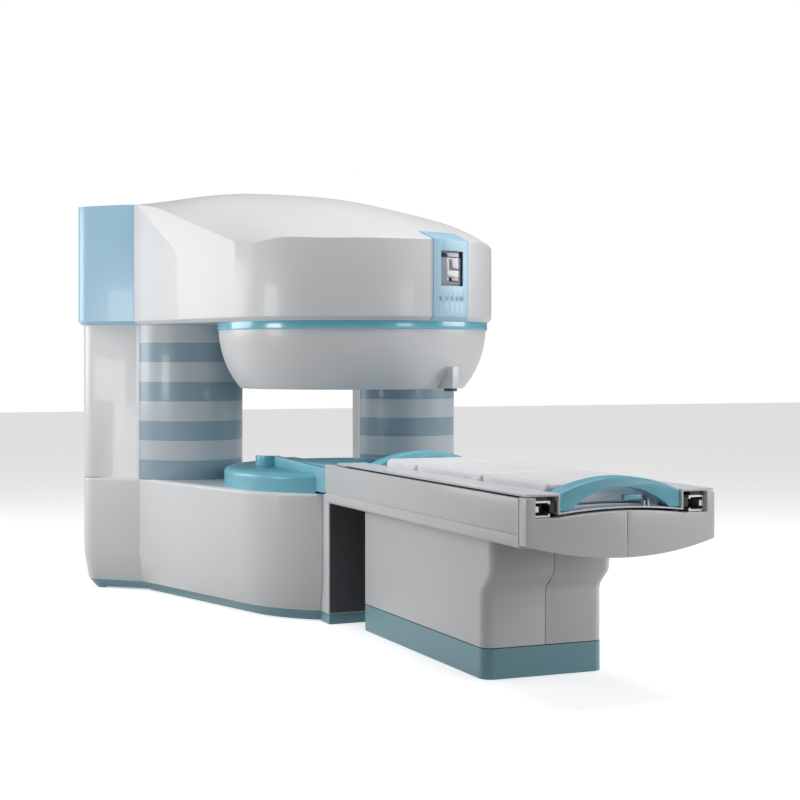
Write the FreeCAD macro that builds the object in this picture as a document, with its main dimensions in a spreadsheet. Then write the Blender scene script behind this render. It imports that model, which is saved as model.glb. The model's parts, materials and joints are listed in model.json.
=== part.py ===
# Open permanent-magnet MRI scanner with a docked patient table, in millimetres.
# Origin: the floor point below the isocentre. +X runs along the table to its foot
# end, +Y across it, +Z up.
import FreeCAD, Part
import Sketcher
import math
import os

doc = FreeCAD.newDocument("mri_scanner")
sheet = doc.addObject("Spreadsheet::Sheet", "sizes")
NODES = {}


# ---------------------------------------------------------------- sizes as formulas

class Size:
    """A length that keeps its number together with the sheet formula behind it."""

    def __init__(self, formula, number):
        self.formula = formula
        self.number = float(number)

    def __add__(self, other):
        return joined(self, "+", other)

    def __radd__(self, other):
        return joined(other, "+", self)

    def __sub__(self, other):
        return joined(self, "-", other)

    def __rsub__(self, other):
        return joined(other, "-", self)

    def __mul__(self, other):
        return joined(self, "*", other)

    def __rmul__(self, other):
        return joined(other, "*", self)

    def __truediv__(self, other):
        return joined(self, "/", other)

    def __neg__(self):
        return joined(0, "-", self)

    def __float__(self):
        return self.number


def as_size(value):
    if isinstance(value, Size):
        return value
    return Size(repr(float(value)), value)


def joined(first, sign, second):
    first = as_size(first)
    second = as_size(second)
    numbers = {
        "+": first.number + second.number,
        "-": first.number - second.number,
        "*": first.number * second.number,
        "/": first.number / (second.number or 1.0),
    }
    return Size("(%s %s %s)" % (first.formula, sign, second.formula), numbers[sign])


def root(value):
    return Size("sqrt(%s)" % value.formula, math.sqrt(value.number))


def cosine(degrees):
    degrees = as_size(degrees)
    return Size("cos(%s * 1 deg)" % degrees.formula, math.cos(math.radians(degrees.number)))


def sine(degrees):
    degrees = as_size(degrees)
    return Size("sin(%s * 1 deg)" % degrees.formula, math.sin(math.radians(degrees.number)))


def size(alias, value, meaning):
    """Write one driving dimension into the sheet."""
    size.row += 1
    sheet.set("A%d" % size.row, meaning)
    sheet.set("B%d" % size.row, str(value))
    sheet.setAlias("B%d" % size.row, alias)
    return Size("sizes." + alias, value)


size.row = 0

# Magnet plan
back_face = size("back_face", 1120, "magnet back face behind the isocentre")
seam_back = size("seam_back", 770, "vertical cover seam behind the isocentre")
base_radius = size("base_radius", 668, "round front of the base cover")
wing_back = size("wing_back", 950, "widest point of the left side cover, behind the isocentre")
wing_side = size("wing_side", 1120, "widest point of the left side cover, to the side")
column_back = size("column_back", 820, "column centre behind the isocentre")
column_side = size("column_side", 630, "column centre to each side")
column_radius = size("column_radius", 289, "round column cover")
column_turn = size("column_turn", 22, "how far the column rounds on before its straight inner side, in degrees")
cap_radius = size("cap_radius", 706, "round front of the cap")
cap_overhang = size("cap_overhang", 30, "cap beyond the side covers")
cover_wall = size("cover_wall", 5, "moulded cover wall")
seam_gap = size("seam_gap", 2, "open seam between covers")
frame_depth = size("frame_depth", 44, "depth of the hidden frame behind the seams")

# Magnet heights
plinth_height = size("plinth_height", 50, "magnet plinth")
plinth_inset = size("plinth_inset", 30, "plinth set back at its top")
tuck_height = size("tuck_height", 200, "height where the base cover starts to tuck in")
tuck_slope = size("tuck_slope", 10, "slope of the tucked band in degrees")
plinth_slope = size("plinth_slope", 40, "slope of the plinth in degrees")
base_top = size("base_top", 600, "top of the base cover")
cap_bottom = size("cap_bottom", 1413, "underside of the cap")
cap_bevel = size("cap_bevel", 20, "bevel round the cap's lower edge")
crease_height = size("crease_height", 1797, "crease above the round front of the cap")
crown_height = size("crown_height", 2090, "crown of the roof")
roof_drop = size("roof_drop", 225, "fall of the roof to its right end")

# Iron, magnet and coils
foot_plate = size("foot_plate", 20, "floor plate thickness")
yoke_bottom = size("yoke_bottom", 60, "underside of the lower yoke")
yoke_top = size("yoke_top", 330, "top of the lower yoke")
post_radius = size("post_radius", 240, "iron post")
upper_yoke_bottom = size("upper_yoke_bottom", 1440, "underside of the upper yoke")
upper_yoke_height = size("upper_yoke_height", 250, "upper yoke thickness")
pole_radius = size("pole_radius", 540, "pole plates and magnet blocks")
coil_radius = size("coil_radius", 515, "gradient and transmit coils")
lower_coil_top = size("lower_coil_top", 596, "top of the lower transmit coil")
upper_coil_bottom = size("upper_coil_bottom", 1094, "underside of the upper transmit coil")
transmit_height = size("transmit_height", 18, "transmit coil thickness")
gradient_height = size("gradient_height", 36, "gradient coil thickness")
pole_height = size("pole_height", 90, "pole plate thickness")

# Pole covers
disc_radius = size("disc_radius", 648, "lower pole cover")
disc_top = size("disc_top", 692, "top of the lower pole cover")
disc_round = size("disc_round", 28, "rounded edge of the lower pole cover")
drum_radius = size("drum_radius", 684, "top of the upper pole cover")
drum_bottom = size("drum_bottom", 1086, "underside of the upper pole cover")
drum_bottom_radius = size("drum_bottom_radius", 566, "flat underside of the upper pole cover")
ring_height = size("ring_height", 38, "coloured trim ring under the cap")
drum_bulge = size("drum_bulge", 26, "outward bulge of the upper pole cover")

# Display and light locator
display_angle = size("display_angle", 21, "direction of the display from +X, in degrees")
display_width = size("display_width", 236, "display panel width")
display_proud = size("display_proud", 6, "display panel in front of the cap")
display_top = size("display_top", 1840, "highest point of the display panel")
screen_width = size("screen_width", 150, "screen opening width")
screen_height = size("screen_height", 166, "screen opening height")
screen_bottom = size("screen_bottom", 1580, "lower edge of the screen opening")
screen_depth = size("screen_depth", 16, "screen set back in its opening")
button_size = size("button_size", 20, "display button, square")
button_pitch = size("button_pitch", 34, "spacing of the display buttons")
button_height = size("button_height", 1520, "centre height of the display buttons")
button_clearance = size("button_clearance", 0.5, "gap round a display button")
locator_angle = size("locator_angle", 27, "direction of the light locator, in degrees")
locator_width = size("locator_width", 46, "light locator width")
locator_height = size("locator_height", 104, "light locator height")
locator_reach = size("locator_reach", 668, "light locator face from the isocentre axis")

# Docking block and bridge
dock_face = size("dock_face", 635, "docking block face in front of the isocentre")
dock_side = size("dock_side", 366, "half width of the docking block")
bridge_wall = size("bridge_wall", 20, "bridge trough wall")
bridge_top = size("bridge_top", 744, "top edge of the bridge trough at its magnet end")
bridge_low = size("bridge_low", 724, "top edge of the bridge trough at the table")
bridge_floor = size("bridge_floor", 660, "floor of the bridge trough")
bridge_back = size("bridge_back", 95, "end of the straight trough wall, behind the isocentre")
bridge_flare = size("bridge_flare", 90, "radius of the flared trough end")
channel_clearance = size("channel_clearance", 5, "room beside and behind the tray in the channel")

# Table
table_start = size("table_start", 645, "head end of the table body")
table_end = size("table_end", 2600, "foot end of the side panels")
table_side = size("table_side", 386, "half width of the table body")
table_bottom = size("table_bottom", 567, "underside of the side panels")
panel_top = size("panel_top", 744, "top of the side panels")
panel_wall = size("panel_wall", 18, "side panel thickness")
lip_height = size("lip_height", 612, "groove above the lower lip")
groove = size("groove", 5, "decorative groove, square")
end_reach = size("end_reach", 2655, "corner of the end cover")
end_bulge = size("end_bulge", 32, "bulge of the end cover at its middle")
end_keel = size("end_keel", 529, "lowest point of the end cover")
end_corner = size("end_corner", 580, "bottom of the end cover at its corners")
rail_side = size("rail_side", 285, "inner face of each rail")
rail_width = size("rail_width", 66, "rail width")
rail_bottom = size("rail_bottom", 678, "underside of the rails")
rail_top = size("rail_top", 736, "top of the rails")
rail_wall = size("rail_wall", 7, "rail extrusion wall")
rail_end = size("rail_end", 2640, "foot end of the rails")
beam_wall = size("beam_wall", 8, "steel table beam wall")
beam_bottom = size("beam_bottom", 575, "underside of the table beam")

# Pedestal
pedestal_start = size("pedestal_start", 800, "head side of the pedestal")
pedestal_end = size("pedestal_end", 2073, "foot side of the pedestal")
pedestal_side = size("pedestal_side", 264, "half width of the pedestal")
pedestal_corner = size("pedestal_corner", 50, "rounded upright corners")
table_plinth_height = size("table_plinth_height", 121, "pedestal plinth")
flare_reach = size("flare_reach", 76, "overhang of the foot side of the pedestal")
flare_start = size("flare_start", 325, "height where the flare starts")
flare_finish = size("flare_finish", 425, "height where the flare ends")

# Tray
tray_start = size("tray_start", 800, "head end of the tray when it is out")
tray_end = size("tray_end", 2650, "foot end of the tray when it is out")
tray_travel = size("tray_travel", 1200, "how far the tray slides into the magnet")
tray_inside = size("tray_inside", 250, "half width inside the tray")
tray_wall = size("tray_wall", 6, "tray wall")
tray_floor = size("tray_floor", 692, "tray floor beside its walls")
tray_arch = size("tray_arch", 15, "rise of the tray floor at its middle")
tray_top = size("tray_top", 760, "top of the tray flanges")
flange_side = size("flange_side", 384, "outer edge of the tray flanges")
run_clearance = size("run_clearance", 0.4, "running clearance")
pad_start = size("pad_start", 1020, "head end of the head pad")
pad_first_joint = size("pad_first_joint", 1354, "joint between head and back pad")
pad_second_joint = size("pad_second_joint", 1993, "joint between back and leg pad")
pad_end = size("pad_end", 2534, "foot end of the leg pad")
pad_top = size("pad_top", 790, "top of the pads")
pad_side = size("pad_side", 244, "half width of the pads")
pad_round = size("pad_round", 12, "rounded pad edges")
arch_crown = size("arch_crown", 812, "top of the arched handles")
arch_thickness = size("arch_thickness", 36, "arched handle thickness at its middle")
arch_foot = size("arch_foot", 44, "width of each foot of the arched handles")
arch_depth = size("arch_depth", 88, "arched handle depth along the tray")
arch_round = size("arch_round", 8, "rounded arched handle edges")
foot_arch = size("foot_arch", 2552, "foot handle, head side")
head_arch = size("head_arch", 850, "head handle, head side")

# Lever
lever_axis = size("lever_axis", 2626, "lever pivot along the tray")
lever_pivot_height = size("lever_pivot_height", 716, "lever pivot height")
lever_side = size("lever_side", 110, "lever rod to the right of the middle")
lever_height = size("lever_height", 738, "lever grip centre height")
lever_grip_length = size("lever_grip_length", 72, "lever grip length")
lever_pin_radius = size("lever_pin_radius", 4, "lever pivot pin")

# Drive
pulley_radius = size("pulley_radius", 36, "belt pulleys")
pulley_width = size("pulley_width", 30, "belt pulley width")
pulley_height = size("pulley_height", 625, "belt pulley axle height")
shaft_radius = size("shaft_radius", 8, "belt pulley shafts")
belt_thickness = size("belt_thickness", 3, "drive belt thickness")
drive_place = size("drive_place", 2450, "drive pulley along the table")
idler_place = size("idler_place", 760, "idler pulley along the table")
clamp_place = size("clamp_place", 2300, "belt clamp along the table")
motor_radius = size("motor_radius", 40, "drive motor")


# ---------------------------------------------------------------- building helpers

def bind(feature, prop, value):
    """Tie a property to the sheet."""
    feature.setExpression(prop, as_size(value).formula)


def node(feature, label):
    """Name a finished sub-part, which is written to its own file."""
    feature.Label = label
    NODES[label] = feature
    return feature


def box(name, x_span, y_span, z_span):
    """A Part::Box between two values on each axis."""
    block = doc.addObject("Part::Box", name)
    for prop, span in zip(("Length", "Width", "Height"), (x_span, y_span, z_span)):
        bind(block, prop, as_size(span[1]) - span[0])
    for axis, span in zip("xyz", (x_span, y_span, z_span)):
        bind(block, "Placement.Base." + axis, span[0])
    return block


def radial_box(name, angle, reach, half_width, heights):
    """A box that looks outwards in one direction from the isocentre axis."""
    block = doc.addObject("Part::Box", name)
    bind(block, "Length", as_size(reach[1]) - reach[0])
    bind(block, "Width", 2 * half_width)
    bind(block, "Height", as_size(heights[1]) - heights[0])
    across = as_size(half_width)
    bind(block, "Placement.Base.x", reach[0] * cosine(angle) + across * sine(angle))
    bind(block, "Placement.Base.y", reach[0] * sine(angle) - across * cosine(angle))
    bind(block, "Placement.Base.z", heights[0])
    block.Placement.Rotation = FreeCAD.Rotation(FreeCAD.Vector(0, 0, 1), 10)
    bind(block, "Placement.Rotation.Angle", angle)
    return block


def upright(name, x, y, z_span, radius):
    """A vertical Part::Cylinder."""
    rod = doc.addObject("Part::Cylinder", name)
    bind(rod, "Radius", radius)
    bind(rod, "Height", as_size(z_span[1]) - z_span[0])
    bind(rod, "Placement.Base.x", x)
    bind(rod, "Placement.Base.y", y)
    bind(rod, "Placement.Base.z", z_span[0])
    return rod


def upright_pair(name, z_span, radius):
    """Two vertical cylinders on the columns' axes."""
    pair = [upright(name, -column_back, turn * column_side, z_span, radius) for turn in (-1, 1)]
    return fused(name + "_pair", *pair)


def crosswise(name, x, y_span, z, radius):
    """A Part::Cylinder whose axis runs along +Y."""
    rod = doc.addObject("Part::Cylinder", name)
    rod.Placement.Rotation = FreeCAD.Rotation(FreeCAD.Vector(1, 0, 0), -90)
    bind(rod, "Radius", radius)
    bind(rod, "Height", as_size(y_span[1]) - y_span[0])
    bind(rod, "Placement.Base.x", x)
    bind(rod, "Placement.Base.y", y_span[0])
    bind(rod, "Placement.Base.z", z)
    return rod


def fused(name, *solids):
    union = doc.addObject("Part::MultiFuse", name)
    union.Shapes = list(solids)
    return union


def grouped(name, *solids):
    """Separate solids kept together as one sub-part."""
    group = doc.addObject("Part::Compound", name)
    group.Links = list(solids)
    return group


def cut(name, base, *tools):
    result = base
    for number, tool in enumerate(tools):
        step = doc.addObject("Part::Cut", "%s_%d" % (name, number))
        step.Base = result
        step.Tool = tool
        result = step
    return result


def common(name, first, second):
    shared = doc.addObject("Part::Common", name)
    shared.Base = first
    shared.Tool = second
    return shared


def mirrored(name, source):
    """The same sub-part on the other side of the table's middle plane."""
    mirror = doc.addObject("Part::Mirroring", name)
    mirror.Source = source
    mirror.Base = FreeCAD.Vector(0, 0, 0)
    mirror.Normal = FreeCAD.Vector(0, 1, 0)
    return mirror


def origin_plane(body, role):
    return [plane for plane in body.Origin.OriginFeatures if plane.Role == role][0]


def arc_between(start, end, radius):
    """The short arc from start to end; a positive radius turns to the left."""
    ahead = end - start
    middle = (start + end) * 0.5
    rise = math.sqrt(max(radius * radius - ahead.Length ** 2 / 4, 0.0))
    left = FreeCAD.Vector(-ahead.y, ahead.x, 0).normalize()
    centre = middle + left * math.copysign(rise, radius)
    first = math.atan2(start.y - centre.y, start.x - centre.x)
    last = math.atan2(end.y - centre.y, end.x - centre.x)
    circle = Part.Circle(centre, FreeCAD.Vector(0, 0, 1), abs(radius))
    if radius < 0:
        first, last = last, first
    return Part.ArcOfCircle(circle, first, last)


def draw(sketch, outline):
    """Fill a sketch with a closed outline, every point and radius tied to the sheet.

    Each item is (x, y), or (x, y, radius) where an arc leads on to the next point.
    """
    places = [FreeCAD.Vector(float(item[0]), float(item[1]), 0) for item in outline]
    ends = []
    for number, item in enumerate(outline):
        start = places[number]
        end = places[(number + 1) % len(outline)]
        if len(item) == 2:
            edge = sketch.addGeometry(Part.LineSegment(start, end))
            ends.append((edge, 1, 2))
            continue
        edge = sketch.addGeometry(arc_between(start, end, float(item[2])))
        turns_left = float(item[2]) > 0
        ends.append((edge, 1, 2) if turns_left else (edge, 2, 1))
        radius = as_size(item[2]) if turns_left else -as_size(item[2])
        held = sketch.addConstraint(Sketcher.Constraint("Radius", edge, radius.number))
        sketch.setExpression("Constraints[%d]" % held, radius.formula)
    for number, item in enumerate(outline):
        edge, start, _ = ends[number]
        before, _, before_end = ends[number - 1]
        sketch.addConstraint(Sketcher.Constraint("Coincident", before, before_end, edge, start))
        for kind, value in (("DistanceX", item[0]), ("DistanceY", item[1])):
            value = as_size(value)
            held = sketch.addConstraint(Sketcher.Constraint(kind, edge, start, value.number))
            sketch.setExpression("Constraints[%d]" % held, value.formula)


def prism(name, role, outline, span, taper=None):
    """A PartDesign pad of an outline on an origin plane, from one height to another."""
    body = doc.addObject("PartDesign::Body", name)
    sketch = body.newObject("Sketcher::SketchObject", name + "_outline")
    sketch.AttachmentSupport = [(origin_plane(body, role), "")]
    sketch.MapMode = "FlatFace"
    draw(sketch, outline)
    pad = body.newObject("PartDesign::Pad", name + "_pad")
    pad.Profile = sketch
    bind(pad, "Length", as_size(span[1]) - span[0])
    axis = {"XY_Plane": "z", "XZ_Plane": "y", "YZ_Plane": "x"}[role]
    # the XZ plane's own normal points to -Y, so that its pad is turned round
    pad.Reversed = role == "XZ_Plane"
    if taper is not None:
        # a tapered pad hangs below its sketch and narrows downwards
        pad.Reversed = True
        bind(pad, "TaperAngle", -as_size(taper))
        bind(body, "Placement.Base." + axis, span[1])
    else:
        bind(body, "Placement.Base." + axis, span[0])
    return body


def turned(name, outline):
    """A PartDesign revolution about the isocentre axis; points are (radius, height)."""
    body = doc.addObject("PartDesign::Body", name)
    sketch = body.newObject("Sketcher::SketchObject", name + "_outline")
    sketch.AttachmentSupport = [(origin_plane(body, "XZ_Plane"), "")]
    sketch.MapMode = "FlatFace"
    draw(sketch, outline)
    turn = body.newObject("PartDesign::Revolution", name + "_turn")
    turn.Profile = sketch
    turn.ReferenceAxis = (sketch, ["V_Axis"])
    turn.Angle = 360
    return body


def dress(body, kind, amount, wanted):
    """Round or bevel the edges of a body's last feature that pass a test."""
    doc.recompute()
    last = body.Tip
    names = ["Edge%d" % (number + 1) for number, edge in enumerate(last.Shape.Edges) if wanted(edge)]
    feature = body.newObject("PartDesign::" + kind, body.Name + "_" + kind.lower())
    feature.Base = (last, names)
    bind(feature, "Radius" if kind == "Fillet" else "Size", amount)
    return body


def level_edges(body, top):
    """A test for the edges round the top, or the bottom, of a body's last feature."""
    doc.recompute()
    bounds = body.Tip.Shape.BoundBox
    height = bounds.ZMax if top else bounds.ZMin
    return lambda edge: max(abs(edge.BoundBox.ZMin - height), abs(edge.BoundBox.ZMax - height)) < 0.01


def sagitta_radius(half_chord, rise):
    """Radius of the arc over a chord."""
    return (half_chord * half_chord + rise * rise) / (2 * rise)


# ---------------------------------------------------------------- magnet outlines

def tangent_touch(x, y, radius, turn):
    """Where the line from (-x, y) touches the circle round the isocentre axis."""
    reach_squared = x * x + y * y
    along = root(reach_squared - radius * radius)
    touch_x = (radius * along * y * turn - radius * radius * x) / reach_squared
    touch_y = (radius * radius * y + radius * along * x * turn) / reach_squared
    return touch_x, touch_y


def seam_side():
    """Where the cover seam lies on the round column cover, to the side."""
    offset = column_back - seam_back
    return column_side + root(column_radius * column_radius - offset * offset)


def left_wing(inset, spread):
    """The left side cover's outline from its seam to the back face."""
    seam_y = seam_side() + spread - inset
    wing_y = wing_side + spread - inset
    back = back_face - inset
    step_x = wing_back - seam_back
    step_y = wing_y - seam_y
    step = root(step_x * step_x + step_y * step_y)
    round_radius = (back - wing_back) / (1 + step_y / step)
    return [
        (-back, round_radius * step_x / step - wing_y, round_radius),
        (-wing_back, -wing_y),
        (-seam_back, -seam_y),
    ]


def magnet_outline(front_radius, inset, spread):
    """Plan of the base cover, or of the cap, which spreads further out."""
    radius = front_radius - inset
    seam_y = seam_side() + spread - inset
    left_x, left_y = tangent_touch(seam_back, seam_y, radius, 1)
    corner = as_size(70)
    outline = left_wing(inset, spread)
    outline += [(left_x, -left_y, radius), (radius, as_size(0), radius), (left_x, left_y)]
    outline += [(-seam_back, seam_y), (corner - (back_face - inset), seam_y, corner)]
    outline += [(-(back_face - inset), seam_y - corner)]
    return outline


def column_outline(inset, side):
    """Plan of a column: round to the front and inwards, straight behind."""
    radius = column_radius - inset
    back = back_face - inset
    outer = side * (column_side + radius)
    turn_x = -column_back - radius * sine(column_turn)
    turn_y = column_side - radius * cosine(column_turn)
    inner_y = turn_y + (back + turn_x) * sine(column_turn) / cosine(column_turn)
    if side > 0:
        return [
            (turn_x, turn_y, radius),
            (radius - column_back, column_side, radius),
            (-column_back, outer),
            (-back, outer),
            (-back, inner_y),
        ]
    return [
        (-column_back, outer, radius),
        (radius - column_back, -column_side, radius),
        (turn_x, -turn_y),
        (-back, -inner_y),
    ] + left_wing(inset, as_size(0))[:2]


def in_front(name, heights):
    """Space in front of the cover seam."""
    return box(name, (seam_gap / 2 - seam_back, 1000), (-1500, 1500), heights)


def behind(name, sides, heights):
    """Space behind the cover seam."""
    return box(name, (-1500, -seam_back - seam_gap / 2), sides, heights)


# ---------------------------------------------------------------- iron and coils

def iron_plan(inset):
    """Plan of the yoke plates: wide at the columns, narrow under the poles."""
    return [
        (inset - 1080, inset - 800), (as_size(-760), inset - 860), (as_size(100), inset - 610),
        (480 - inset, 1.1 * inset - 400), (480 - inset, 400 - 1.1 * inset),
        (as_size(100), 610 - inset), (as_size(-760), 860 - inset), (inset - 1080, 800 - inset),
    ]


def magnet_core():
    anchor = as_size(11)
    holes = []
    for x in (-980, 100):
        for y in (-500, 500):
            holes.append(upright("anchor_hole", x, y, (-1, foot_plate + 1), anchor))
    plate = prism("foot_plate_blank", "XY_Plane", iron_plan(as_size(70)), (as_size(0), foot_plate))
    feet = []
    for x, y in ((-900, -600), (-900, 600), (-100, -520), (-100, 520), (360, 0)):
        feet.append(upright("support_foot", x, y, (foot_plate, yoke_bottom), as_size(55)))
    base = fused("foot_plate_whole", plate, *feet)
    node(cut("foot_plate", base, fused("anchor_holes", *holes)), "foot_plate")

    node(prism("lower_yoke", "XY_Plane", iron_plan(as_size(0)), (yoke_bottom, yoke_top)), "lower_yoke")
    upper_top = upper_yoke_bottom + upper_yoke_height
    node(prism("upper_yoke", "XY_Plane", iron_plan(as_size(0)), (upper_yoke_bottom, upper_top)),
         "upper_yoke")
    bolts = []
    posts = []
    for side in (-1, 1):
        y = side * column_side
        posts.append(upright("yoke_post", -column_back, y, (yoke_top, upper_yoke_bottom), post_radius))
        for x_step, y_step in ((-130, -130), (-130, 130), (130, -130), (130, 130)):
            bolts.append(upright("yoke_bolt", x_step - column_back, y + y_step,
                                 (upper_top, upper_top + 25), as_size(27)))
    node(grouped("yoke_posts", *posts), "yoke_posts")
    node(grouped("yoke_bolts", *bolts), "yoke_bolts")

    coil_height = transmit_height + gradient_height
    plate_top = lower_coil_top - coil_height
    block_top = plate_top - pole_height
    plate_bottom = upper_coil_bottom + coil_height
    block_bottom = plate_bottom + pole_height
    stacks = (
        ("lower_magnet_block", (yoke_top, block_top), pole_radius),
        ("lower_pole_plate", (block_top, plate_top), pole_radius),
        ("upper_pole_plate", (plate_bottom, block_bottom), pole_radius),
        ("upper_magnet_block", (block_bottom, upper_yoke_bottom), pole_radius),
    )
    for label, heights, radius in stacks:
        node(upright(label, 0, 0, heights, radius), label)
    # each coil set is a gradient coil with the wider transmit coil on its patient side
    gradient_radius = coil_radius - 20
    middle = lower_coil_top - transmit_height
    gradient = upright("lower_gradient_coil", 0, 0, (plate_top, middle), gradient_radius)
    transmit = upright("lower_transmit_coil", 0, 0, (middle, lower_coil_top), coil_radius)
    node(fused("lower_coil_set", gradient, transmit), "lower_coil_set")
    middle = upper_coil_bottom + transmit_height
    gradient = upright("upper_gradient_coil", 0, 0, (middle, plate_bottom), gradient_radius)
    transmit = upright("upper_transmit_coil", 0, 0, (upper_coil_bottom, middle), coil_radius)
    node(fused("upper_coil_set", gradient, transmit), "upper_coil_set")


# ---------------------------------------------------------------- base covers

def base_shell():
    """The hollow base cover before its seams are cut: walls, tucked band and deck."""
    solids = []
    for inset, top_inset in ((as_size(0), as_size(0)), (cover_wall, cover_wall)):
        outline = magnet_outline(base_radius, inset, as_size(0))
        upper = prism("base_block", "XY_Plane", outline, (tuck_height, base_top - top_inset))
        dress(upper, "Fillet", 16 - inset, level_edges(upper, True))
        band = prism("base_band", "XY_Plane", outline, (plinth_height, tuck_height), tuck_slope)
        solids.append(fused("base_solid", upper, band))
    return cut("base_shell", *solids)


def base_covers():
    shell = base_shell()
    deck = (base_top - 60, base_top + 1)
    openings = [upright("pole_hole", 0, 0, deck, coil_radius + 60)]
    openings.append(upright_pair("post_hole", deck, post_radius + 12))
    dock_room = box("dock_room", (coil_radius, 1000), (-dock_side, dock_side), (0, base_top + 1))
    bored = cut("base_bored", shell, fused("base_holes", *openings), dock_room)
    heights = (as_size(0), base_top + 1)
    node(common("base_front_cover", bored, in_front("base_front_space", heights)), "base_front_cover")
    middle = column_side - column_radius - seam_gap
    back_space = behind("base_back_space", (-middle, middle), heights)
    node(common("base_back_cover", bored, back_space), "base_back_cover")
    return bored


def column_shell(side, name):
    """Hollow column with its back wall, from the deck up to the cap."""
    heights = (base_top, cap_bottom)
    outer = prism(name + "_outer", "XY_Plane", column_outline(as_size(0), side), heights)
    inner = prism(name + "_inner", "XY_Plane", column_outline(cover_wall, side), heights)
    return cut(name + "_shell", outer, inner)


def column_covers(bored_base):
    heights = (as_size(0), cap_bottom + 1)
    for side, label in ((-1, "left"), (1, "right")):
        shell = column_shell(side, label)
        front = in_front(label + "_front_space", heights)
        node(common(label + "_column_cover", shell, front), label + "_column_cover")
        inner = column_side - column_radius
        sides = (as_size(-1500), -inner) if side < 0 else (inner, as_size(1500))
        back = behind(label + "_back_space", sides, heights)
        whole = fused(label + "_side_blank", shell, common(label + "_base_part", bored_base, back))
        node(common(label + "_side_cover", whole, back), label + "_side_cover")


def plinths():
    """The coloured foot of the magnet and of the docking block, one moulding."""
    outline = magnet_outline(base_radius - plinth_inset, as_size(0), -plinth_inset)
    outer = prism("plinth_outer", "XY_Plane", outline, (as_size(0), plinth_height), plinth_slope)
    core = magnet_outline(base_radius - plinth_inset, plinth_height + 5, -plinth_inset)
    inner = prism("plinth_inner", "XY_Plane", core, (as_size(-1), plinth_height + 1))
    dock_outer = box("dock_plinth_outer", (coil_radius, dock_face - 8), (8 - dock_side, dock_side - 8),
                     (0, plinth_height))
    dock_inner = box("dock_plinth_inner", (coil_radius - 100, dock_face - 20),
                     (20 - dock_side, dock_side - 20), (-1, plinth_height + 1))
    node(cut("base_plinth", fused("plinth_blank", outer, dock_outer), fused("plinth_core", inner,
             dock_inner)), "base_plinth")


def cover_frame(cap_inner):
    """Hidden steel hoops behind the cover seams, which carry the base covers and the cap."""
    depth = frame_depth
    span = (-seam_back - depth / 2, depth / 2 - seam_back)
    room = upright_pair("frame_post_room", (0, crown_height), post_radius + 12)
    strip = box("frame_strip", span, (-1500, 1500), (yoke_bottom + 40, base_top))
    inset = cover_wall + frame_depth / 2
    outline = magnet_outline(base_radius, cover_wall, as_size(0))
    outer = prism("frame_outer", "XY_Plane", outline, (tuck_height, base_top - cover_wall))
    dress(outer, "Fillet", 16 - cover_wall, level_edges(outer, True))
    inner_outline = magnet_outline(base_radius, inset, as_size(0))
    inner = prism("frame_inner", "XY_Plane", inner_outline, (tuck_height - 1, base_top - inset))
    base_hoop = cut("base_hoop", common("base_hoop_blank", outer, strip), inner, room)
    brackets = []
    for turn in (-1, 1):
        near = turn * 860
        far = turn * (seam_side() - inset + 1)
        brackets.append(box("frame_bracket", span, (near, far) if turn > 0 else (far, near),
                            (tuck_height, yoke_top - 30)))
    cap_strip = box("cap_strip", span, (-1500, 1500), (cap_bottom, crown_height + 50))
    cap_core = cap_solid("cap_core", upper_yoke_bottom - cap_bottom)
    cap_hoop = cut("cap_hoop", common("cap_hoop_blank", cap_inner, cap_strip), cap_core, room)
    node(grouped("cover_frame", fused("base_frame", base_hoop, *brackets), cap_hoop), "cover_frame")


# ---------------------------------------------------------------- pole covers

def pole_covers():
    wall = cover_wall
    rounding = disc_round
    disc = turned("disc_outer", [
        (as_size(0), base_top), (disc_radius, base_top), (disc_radius, disc_top - rounding, rounding),
        (disc_radius - rounding, disc_top), (as_size(0), disc_top)])
    inner = rounding - wall
    hollow = turned("disc_inner", [
        (as_size(0), base_top - 1), (disc_radius - wall, base_top - 1),
        (disc_radius - wall, disc_top - rounding, inner),
        (disc_radius - rounding, disc_top - wall), (as_size(0), disc_top - wall)])
    slot_side = table_side + run_clearance
    slot = box("bridge_slot", (-bridge_back - run_clearance, 1000), (-slot_side, slot_side),
               (base_top - 2, disc_top + 1))
    shell = cut("disc_shell", disc, hollow, slot)
    # a sunk channel takes the tray on past the bridge, and a wall closes the disc's cut side
    back = tray_start - tray_travel - channel_clearance * 4
    side = rail_side + channel_clearance
    front = -bridge_back - run_clearance
    pan = box("channel_pan", (back - wall, front), (-side - wall, side + wall),
              (bridge_floor - wall, disc_top - 1))
    end_wall = box("disc_end_wall", (front - wall, front), (-slot_side, slot_side),
                   (base_top, disc_top - 1))
    channel = box("channel_room", (back, front + 1), (-side, side), (bridge_floor, disc_top + 1))
    blank = fused("lower_pole_blank", shell, pan, end_wall)
    node(cut("lower_pole_cover", blank, channel), "lower_pole_cover")

    ring_bottom = cap_bottom - ring_height
    top = drum_radius - 8
    chord = root((top - drum_bottom_radius) * (top - drum_bottom_radius)
                 + (ring_bottom - drum_bottom) * (ring_bottom - drum_bottom)) / 2
    curve = sagitta_radius(chord, drum_bulge)
    drum = turned("drum_outer", [
        (as_size(0), drum_bottom), (drum_bottom_radius, drum_bottom, curve),
        (top, ring_bottom), (as_size(0), ring_bottom)])
    drum_hollow = turned("drum_inner", [
        (as_size(0), drum_bottom + wall), (drum_bottom_radius - wall, drum_bottom + wall, curve),
        (top - wall, ring_bottom + 1), (as_size(0), ring_bottom + 1)])
    node(cut("upper_pole_cover", drum, drum_hollow), "upper_pole_cover")
    ring_inner = as_size(60)
    ring = turned("trim_ring", [
        (drum_radius - ring_inner, ring_bottom), (drum_radius, ring_bottom),
        (drum_radius, cap_bottom), (drum_radius - ring_inner, cap_bottom)])
    node(ring, "pole_trim_ring")
    return drum


# ---------------------------------------------------------------- cap

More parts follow.
